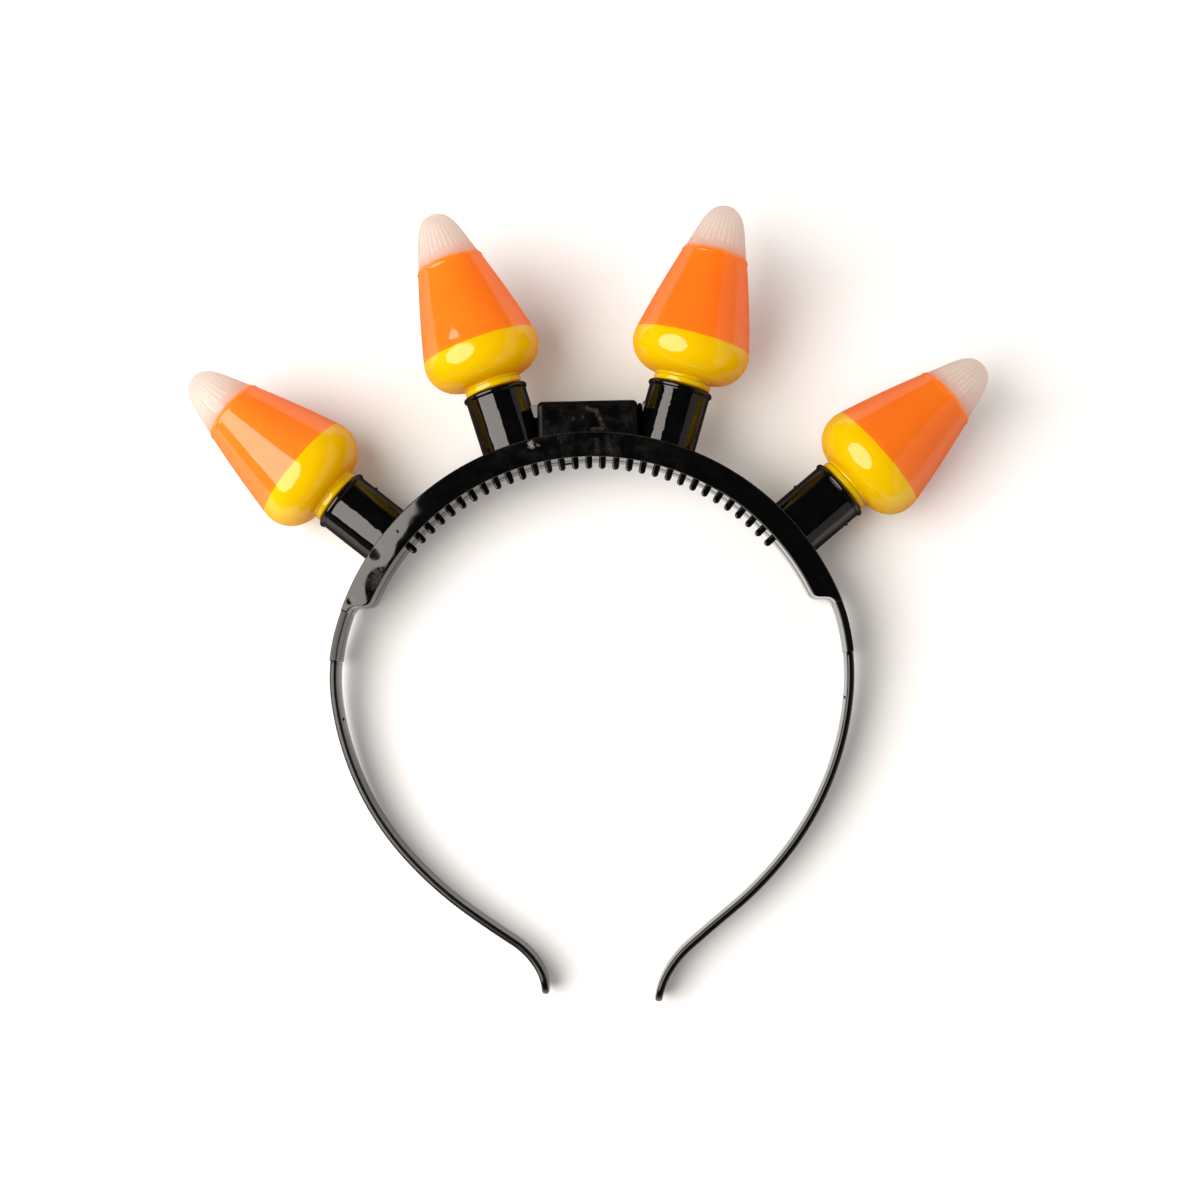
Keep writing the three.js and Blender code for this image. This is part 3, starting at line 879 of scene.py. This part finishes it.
def ball(centre, radii, rows=6, around=10):
    """A small ellipsoid, for crumbs and nubs."""
    made = []
    for i in range(1, rows):
        a = math.pi * i / rows
        ring = []
        for j in range(around):
            b = 2 * math.pi * j / around
            direction = (math.sin(a) * math.cos(b), math.sin(a) * math.sin(b), math.cos(a))
            ring.append(tuple(c + r * d for c, r, d in zip(centre, radii, direction)))
        made.append(ring)
    return skin(made)


def make_sockets(half, facing, node):
    gap = math.degrees(SEAM / (SOCKET_DIAMETER / 2))
    for name, spread in SOCKETS.items():
        rows = []
        for a in spaced(gap, 180 - gap, 4.0):
            x, y = math.cos(math.radians(a)), facing * math.sin(math.radians(a))
            rows.append([(r * x, r * y, h) for r, h in socket_profile()])
        skins = [skin(rows)]
        if facing > 0:
            for height, side in CRUMBS[name]:
                skins.append(ball((side * SOCKET_DIAMETER / 2, 0, height), CRUMB))
        piece(
            f"{half}_socket_{name}", skins, node, socket_black, 0.05, 1,
            stand(spread, CROWN_RADIUS),
        )


both_shells(make_sockets)

# %% [markdown]
# ## Comb teeth
#
# A row of blunt teeth on the inner wall keeps the headband in the hair. They belong to the front shell and
# stand just in front of the seam. Each is a short bar with straight sides and a half-round end, extruded
# and then rounded along its edges. Between two of them the mould left a thread of plastic.

# %% Comb teeth
TOOTH_COUNT = 31
TOOTH_SPREAD = 49.3
TOOTH_WIDTH = 1.75
TOOTH_LENGTH = 2.55
TOOTH_LEVELS = (1.15, 2.85)
TOOTH_ROOT = 0.5
TOOTH_EDGE = 0.45
THREAD_TOOTH = 13  # the thread runs from this tooth to the next one
THREAD_DROP = 0.9  # from the crown's inside
THREAD_HALF_WIDTH = 0.26
THREAD_LEVELS = (1.6, 1.9)


def tooth(spread):
    half = TOOTH_WIDTH / 2
    inward, aside = -polar(1, spread), polar(1, spread + 90)
    start = polar(crown_inside, spread)
    corners = [(half, -TOOTH_ROOT), (-half, -TOOTH_ROOT)]
    corners += [(-x, y) for x, y in round_corner((0, TOOTH_LENGTH - half), half, 0, 180, 12)]
    outline = [tuple(start + aside * x + inward * y) for x, y in corners]
    return slab(outline, *TOOTH_LEVELS)


spreads = [TOOTH_SPREAD * (2 * i / (TOOTH_COUNT - 1) - 1) for i in range(TOOTH_COUNT)]
teeth = [tooth(s) for s in spreads]
piece("comb_teeth", teeth, "front_shell", crown_black, TOOTH_EDGE, 5)

first, last = (polar(crown_inside - THREAD_DROP, spreads[i]) for i in (THREAD_TOOTH, THREAD_TOOTH + 1))
across = (last - first).normalized() * THREAD_HALF_WIDTH
beside = Vector((-across.y, across.x))
corners = (first - beside, last - beside, last + beside, first + beside)
thread = slab([tuple(p) for p in corners], *THREAD_LEVELS)
piece("moulding_thread", [thread], "front_shell", crown_black, 0.08)

# %% [markdown]
# ## Arms
#
# An arm is a strip on edge, 1.8 mm thick. Its edges are almost half round, so whichever half faces the
# light shows a soft grey band and the other half stays dark. The section is swept along the arm's line and
# tapers towards the tip, where it is rounded both ways. Beside the tongue's lip it is thinner. The mould
# left a small nub on the inner side.

# %% Arms
OUTER_CORNER = 0.88
INNER_CORNER = 0.62
NUB = (0.42, 0.42, 0.5)
NUB_HEIGHT = 1.2
NUB_ALONG = {"left": 27.3, "right": 24.0}  # from the shoulder


def arm_section(inner, outer, half, outer_corner, inner_corner):
    """A rounded section as (offset, z), with as many points for every size."""
    corners = [
        (outer, half, outer_corner, 0), (inner, half, inner_corner, 90),
        (inner, -half, inner_corner, 180), (outer, -half, outer_corner, 270),
    ]
    made = []
    for x, z, r, start in corners:
        middle = (x - math.copysign(r, x - (inner + outer) / 2), z - math.copysign(r, z))
        made += round_corner(middle, r, start, start + 90, 7)
    return made


def round_end(half, radius, into):
    """Half a width near a round end, at a place so far into the rounding."""
    return half if into <= 0 else half - radius + math.sqrt(max(0, radius**2 - into**2))


def make_arm(side):
    radius = ARM_THICKNESS / 2
    lip_end = TONGUE_LENGTH + 0.04
    steps = [(along, True) for along in spaced(FIT, lip_end, 1.3)]
    steps += [(along, False) for along in spaced(lip_end + 0.05, ARM_LENGTH - ARM_TIP_RADIUS, 1.3)]
    turns = [math.radians(84 * (i + 1) / 12) for i in range(12)]
    steps += [(ARM_LENGTH + ARM_TIP_RADIUS * (math.sin(a) - 1), False) for a in turns]
    rows = []
    for along, beside_lip in steps:
        outer = round_end(radius, radius, along - (ARM_LENGTH - radius))
        inner = TONGUE_LIP + FIT - radius if beside_lip else -outer
        depth = ARM_DEPTH + (ARM_TIP_DEPTH - ARM_DEPTH) * along / ARM_LENGTH
        half = round_end(depth / 2, ARM_TIP_RADIUS, along - (ARM_LENGTH - ARM_TIP_RADIUS))
        thick = (outer - inner) / 2
        corners = min(OUTER_CORNER, thick * 0.95), min(INNER_CORNER, thick * 0.7)
        section = arm_section(inner, outer, half, *corners)
        middle, outward = arm_point(side, along)
        rows.append([(*(middle + outward * offset), z) for offset, z in section])
    return skin(rows)


for side in ARM_TURNS:
    middle, outward = arm_point(side, NUB_ALONG[side])
    spot = middle - outward * ARM_THICKNESS / 2
    nub = ball((*spot, NUB_HEIGHT), NUB)
    piece(f"arm_{side}", [make_arm(side), nub], f"{side}_arm", arm_black)

# %% [markdown]
# ## Bulbs
#
# A bulb is turned: a profile of radius against height, swept round its own axis. From the seat up it has a
# short neck with a collar, a bulge like a ring of round section, a straight cone and a round tip. The
# orange coat ends in a thick bead, and the bare tip behind it is a little thinner. The profile goes back
# down inside, so the bulb is hollow, and ends in a spigot that fits the socket. Its points are turned into
# place and the object isn't, which keeps its box tight.

# %% Bulbs
NECK_RADIUS = 7.2
BULGE_RADIUS = 7.6
BULGE_RISE = 9.7
CONE_SLOPE = math.radians(13.1)
TIP_LENGTH = 6.0
TIP_DIAMETER = 11.9
TIP_SLOPE = math.radians(18.7)
TIP_FULLNESS = 0.55
SPIGOT_LENGTH = 6.0
SPIGOT_WALL = 1.3
WALL = 1.6
BULB_SIDES = 112
SEAT_ROUNDING = 0.3
COLLAR_MIDDLE, COLLAR_SHOULDER, COLLAR_ROUNDING = 0.9, 1.15, 0.15
GROOVE_DEPTH, GROOVE_LEVELS = 0.32, (1.45, 1.75)
BULGE_FOOT = (0.1, 2.12)  # outside the neck's radius, and height
DIMPLES = {"inner_left": (13.4, 70, 0.10, 1.3)}  # height, turn in degrees, depth and width


def bulb_skin(length, inset, lowest_radius, fine):
    """The wall's outside (inset 0) or inside as (radius, height), from below the bulge to the tip."""
    ring = BULGE_RADIUS - inset
    lowest = -math.acos((lowest_radius - NECK_RADIUS) / ring)
    count = 30 if fine else 14
    angles = [lowest + (CONE_SLOPE - lowest) * i / count for i in range(count + 1)]
    bulge = [Vector((NECK_RADIUS + ring * math.cos(a), BULGE_RISE + ring * math.sin(a))) for a in angles]
    start = bulge[-1]
    out = Vector((math.cos(TIP_SLOPE), math.sin(TIP_SLOPE)))
    end = Vector((TIP_DIAMETER / 2, length - TIP_LENGTH)) - out * inset
    tip = Vector((0, length - inset))
    third = (end.y - start.y) / 3
    rise = (tip.y - end.y) * TIP_FULLNESS
    cone = bezier(
        start, start + Vector((-math.tan(CONE_SLOPE), 1)) * third,
        end - Vector((-math.tan(TIP_SLOPE), 1)) * third, end, 120 if fine else 24,
    )
    end_cap = bezier(
        end, end + Vector((-math.tan(TIP_SLOPE), 1)) * rise, Vector((end.x * TIP_FULLNESS, tip.y)), tip,
        22 if fine else 12,
    )
    return [*bulge, *cone[1:], *end_cap[1:-1], Vector((0.02, tip.y))]


def bead(height, turn, edge):
    """How far the paint's edge stands out of the cone, in millimetres."""
    uneven = 0.5 + noise.noise(Vector((4 * math.cos(turn), 4 * math.sin(turn), edge)))
    shift = 0.25 * noise.noise(Vector((2 * math.cos(turn), 2 * math.sin(turn), edge + 9)))
    above = height - edge - shift
    lip = (0.10 + 0.20 * uneven) * math.exp(-(((above + 0.90) / 0.27) ** 2))
    rim = (0.04 + 0.06 * uneven) * math.exp(-(((above + 0.15) / 0.16) ** 2))
    bare = 0.16 / (1 + math.exp(-above / 0.08))
    return lip + rim - bare * max(0.0, 1 - (height - edge) / 12)


def dimple(name, height, turn):
    """How far a bulb is pressed in at a place, in millimetres."""
    if name not in DIMPLES:
        return 0.0
    at, angle, deep, wide = DIMPLES[name]
    aside = (turn - math.radians(angle)) * (NECK_RADIUS + BULGE_RADIUS)
    return deep * math.exp(-((height - at) ** 2 + aside**2) / wide**2)


def neck_profile(inside, spigot):
    """The spigot, the seat, the collar and the groove, as (radius, height)."""
    seat, collar = NECK_RADIUS - SEAT_ROUNDING, NECK_RADIUS - COLLAR_ROUNDING
    profile = [
        (inside, -SPIGOT_LENGTH), (spigot, -SPIGOT_LENGTH), (spigot, 0),
        *round_corner((seat, SEAT_ROUNDING), SEAT_ROUNDING, -90, 0, 4),
        (NECK_RADIUS, COLLAR_MIDDLE),
        *round_corner((collar, COLLAR_SHOULDER), COLLAR_ROUNDING, 0, 90, 3),
        *((NECK_RADIUS - GROOVE_DEPTH, level) for level in GROOVE_LEVELS),
        (NECK_RADIUS + BULGE_FOOT[0], BULGE_FOOT[1]),
    ]
    return [Vector(point) for point in profile]


def make_bulb(name):
    lean, length, _, edge, _ = BULBS[name]
    spigot = SOCKET_BORE / 2 - FIT
    inside = spigot - SPIGOT_WALL
    turns = [2 * math.pi * i / BULB_SIDES for i in range(BULB_SIDES)]
    rows = []
    for r, h in neck_profile(inside, spigot):
        rows.append([(r * math.cos(a), r * math.sin(a), h) for a in turns])
    for r, h in bulb_skin(length, 0, NECK_RADIUS, True)[2:]:
        proud = [bead(h, a, edge) * min(1.0, r) if h > 30 else 0 for a in turns]
        radii = [r + p - dimple(name, h, a) for p, a in zip(proud, turns)]
        rows.append([(q * math.cos(a), q * math.sin(a), h) for q, a in zip(radii, turns)])
    for r, h in reversed(bulb_skin(length, WALL, inside, False)):
        rows.append([(r * math.cos(a), r * math.sin(a), h) for a in turns])
    rows.append(rows[0])
    axes = Matrix.Translation(-CENTRE) @ stand(SOCKETS[name], rim_radius + FIT, lean)
    paint = bulb_finish(name, axes, *BULBS[name][1:])
    piece(f"bulb_{name}_paint", [skin(rows, caps=False)], f"bulb_{name}", paint, turned=axes)


for name in SOCKETS:
    make_bulb(name)

# %% [markdown]
# ## Table
#
# Four fat bulbs hold the crown up, but nothing holds the arms up: they sag until their tips touch the
# table. The model is level instead, so here the paper under it rises by almost a centimetre towards the
# tips. It is white, and only the shadows show that: they lie close to the tips and move away from the arms
# further up.

# %% Table
PAPER_REACH = 15000.0
BULB_FOOT = 56.2  # Y just inside the outer bulbs' lowest points
TIP_FOOT, TIP_CLEARANCE = -70.0, 9.9  # Y of the arm tips and how high they are above the bulbs' feet
PAPER_BEND = 2.0  # 1 would be a straight slope, and more comes up to the arms sooner
LEVEL_AFTER, LEVEL_FADE = (15.0, 45.0), 120.0  # past the tips and the bulbs' feet, the paper levels out
PAPER_SINK = 0.05
PAPER_WHITE = (0.75, 0.77, 0.795, 1), (0.77, 0.79, 0.815, 1)  # in two kinds of patches


def stage_mesh(name, rows, material):
    """A surface through rows of points that isn't part of the object."""
    width = len(rows[0])
    points = [CENTRE + Vector(p) * MM for row in rows for p in row]
    faces = [
        (i * width + j, i * width + j + 1, (i + 1) * width + j + 1, (i + 1) * width + j)
        for i in range(len(rows) - 1) for j in range(width - 1)
    ]
    mesh = bpy.data.meshes.new(name)
    mesh.from_pydata(points, [], faces)
    mesh.materials.append(material)
    mesh.shade_smooth()
    obj = bpy.data.objects.new(name, mesh)
    bpy.context.scene.collection.objects.link(obj)
    return obj


def paper_height(y):
    """The paper's height at a Y, from the outer bulbs' feet."""
    along = (BULB_FOOT - y) / (BULB_FOOT - TIP_FOOT)
    near = TIP_CLEARANCE * (1 - max(0.0, 1 - along) ** PAPER_BEND)
    beyond = max(0.0, TIP_FOOT - LEVEL_AFTER[0] - y, y - BULB_FOOT - LEVEL_AFTER[1])
    return near * math.exp(-((beyond / LEVEL_FADE) ** 2))


f = finish("white_paper")
grain = f.noise(f.node("ShaderNodeTexCoord", output="Object"), 40.0, 2.0)
paper_tint = f.blend(grain, *PAPER_WHITE)
white_paper = f.surface(f.node("ShaderNodeBsdfDiffuse", None, {"Color": paper_tint}))
lines = [-PAPER_REACH, -2000.0, *spaced(-500, 500, 8), 2000.0, PAPER_REACH]
foot = -CENTRE.z / MM - PAPER_SINK
rows = [[(x, y, foot + paper_height(y)) for x in (-PAPER_REACH, PAPER_REACH)] for y in lines]
stage_mesh("table_paper", rows, white_paper)
print("paper rises to", round(paper_height(TIP_FOOT), 2), "mm at the arm tips")

# %% [markdown]
# ## Light
#
# The photograph has one large eight-sided softbox on the left, tilted by half a right angle. Its shape
# shows in every highlight: as a polygon on the bulbs and as a grey stripe on the sockets. A card on the
# right is only there to be reflected. A fill light further away brightens the bulbs' far sides and stays
# out of reflections. The rest of the studio is dark, and that keeps the black plastic black. Light that has
# bounced round the room fills the shadows. It is too even to show up in a reflection, so reflections skip
# it and see a dim dome instead.

# %% Light
SOFTBOX_DISTANCE = 700.0
SOFTBOX_TILT = 45.0
SOFTBOX_RADIUS = 438.0
SOFTBOX_SHIFT = (-35.0, 86.0)  # along Y, and up the slope
SOFTBOX_SIDES = 8
SOFTBOX_GLOW = 6.8
WARM = (1.0, 0.93, 0.86, 1)


def glow(name, strength):
    f = finish(name)
    return f.surface(f.node("ShaderNodeEmission", None, {"Color": WARM, "Strength": strength}))


def only_reflected(obj):
    """Hides a stage surface from everything but reflections."""
    obj.visible_camera = obj.visible_shadow = obj.visible_diffuse = obj.visible_transmission = False


tilt = math.radians(SOFTBOX_TILT)
away = Vector((-math.cos(tilt), 0, math.sin(tilt)))
upwards = Vector((math.sin(tilt), 0, math.cos(tilt)))
sideways = Vector((0, 1, 0))
middle = away * SOFTBOX_DISTANCE + sideways * SOFTBOX_SHIFT[0] + upwards * SOFTBOX_SHIFT[1]
corners = []
for i in range(SOFTBOX_SIDES):
    a = math.radians(360 / SOFTBOX_SIDES * (i + 0.5))
    corners.append(middle + (sideways * math.cos(a) + upwards * math.sin(a)) * SOFTBOX_RADIUS)
halves = [corners[3::-1], corners[4:]]
softbox = stage_mesh("softbox", halves, glow("softbox_cloth", SOFTBOX_GLOW))
softbox.visible_camera = False

CARD_DISTANCE, CARD_ENDS, CARD_LEVELS, CARD_GLOW = 290.0, (-420.0, 420.0), (-10.0, 225.0), 0.55
FILL_DISTANCE, FILL_ENDS, FILL_LEVELS, FILL_GLOW = 700.0, (50.0, 780.0), (110.0, 620.0), 3.3


def upright(distance, ends, levels):
    return [[(distance, y, z) for z in levels] for y in ends]


card_rows = upright(CARD_DISTANCE, CARD_ENDS, CARD_LEVELS)
only_reflected(stage_mesh("grey_card", card_rows, glow("grey_card_light", CARD_GLOW)))
fill_rows = upright(FILL_DISTANCE, FILL_ENDS, FILL_LEVELS)
fill = stage_mesh("fill_card", fill_rows, glow("fill_card_light", FILL_GLOW))
fill.visible_camera = fill.visible_shadow = fill.visible_glossy = False

DOME, DOME_SIDES = 9000.0, 32
WALL_RISES, WALL_GLOW = (-2, 8, 18), 0.10  # degrees above the horizon
CEILING_RISES, CEILING_GLOW = (18, 40, 65, 89), 0.016
BOUNCE = 0.46


def dome_row(rise):
    level_radius, z = DOME * math.cos(math.radians(rise)), DOME * math.sin(math.radians(rise))
    turns = [2 * math.pi * i / DOME_SIDES for i in range(DOME_SIDES + 1)]
    return [(level_radius * math.cos(a), level_radius * math.sin(a), z) for a in turns]


walls = [dome_row(e) for e in WALL_RISES]
only_reflected(stage_mesh("studio_walls", walls, glow("wall_light", WALL_GLOW)))
ceiling = [dome_row(e) for e in CEILING_RISES]
only_reflected(stage_mesh("studio_ceiling", ceiling, glow("ceiling_light", CEILING_GLOW)))

world = bpy.data.worlds.new("studio")
bpy.context.scene.world = world
world.cycles_visibility.glossy = False
w = Nodes(world)
seen = w.node("ShaderNodeLightPath", output="Is Camera Ray")
bounced = w.node("ShaderNodeBackground", None, {"Color": WARM, "Strength": BOUNCE})
backdrop = w.node("ShaderNodeBackground", None, {"Color": (1, 1, 1, 1), "Strength": 1.0})
w.node("ShaderNodeOutputWorld", None, {"Surface": w.mix(seen, bounced, backdrop)})

bpy.context.scene.view_settings.view_transform = "Standard"
print("stage ready")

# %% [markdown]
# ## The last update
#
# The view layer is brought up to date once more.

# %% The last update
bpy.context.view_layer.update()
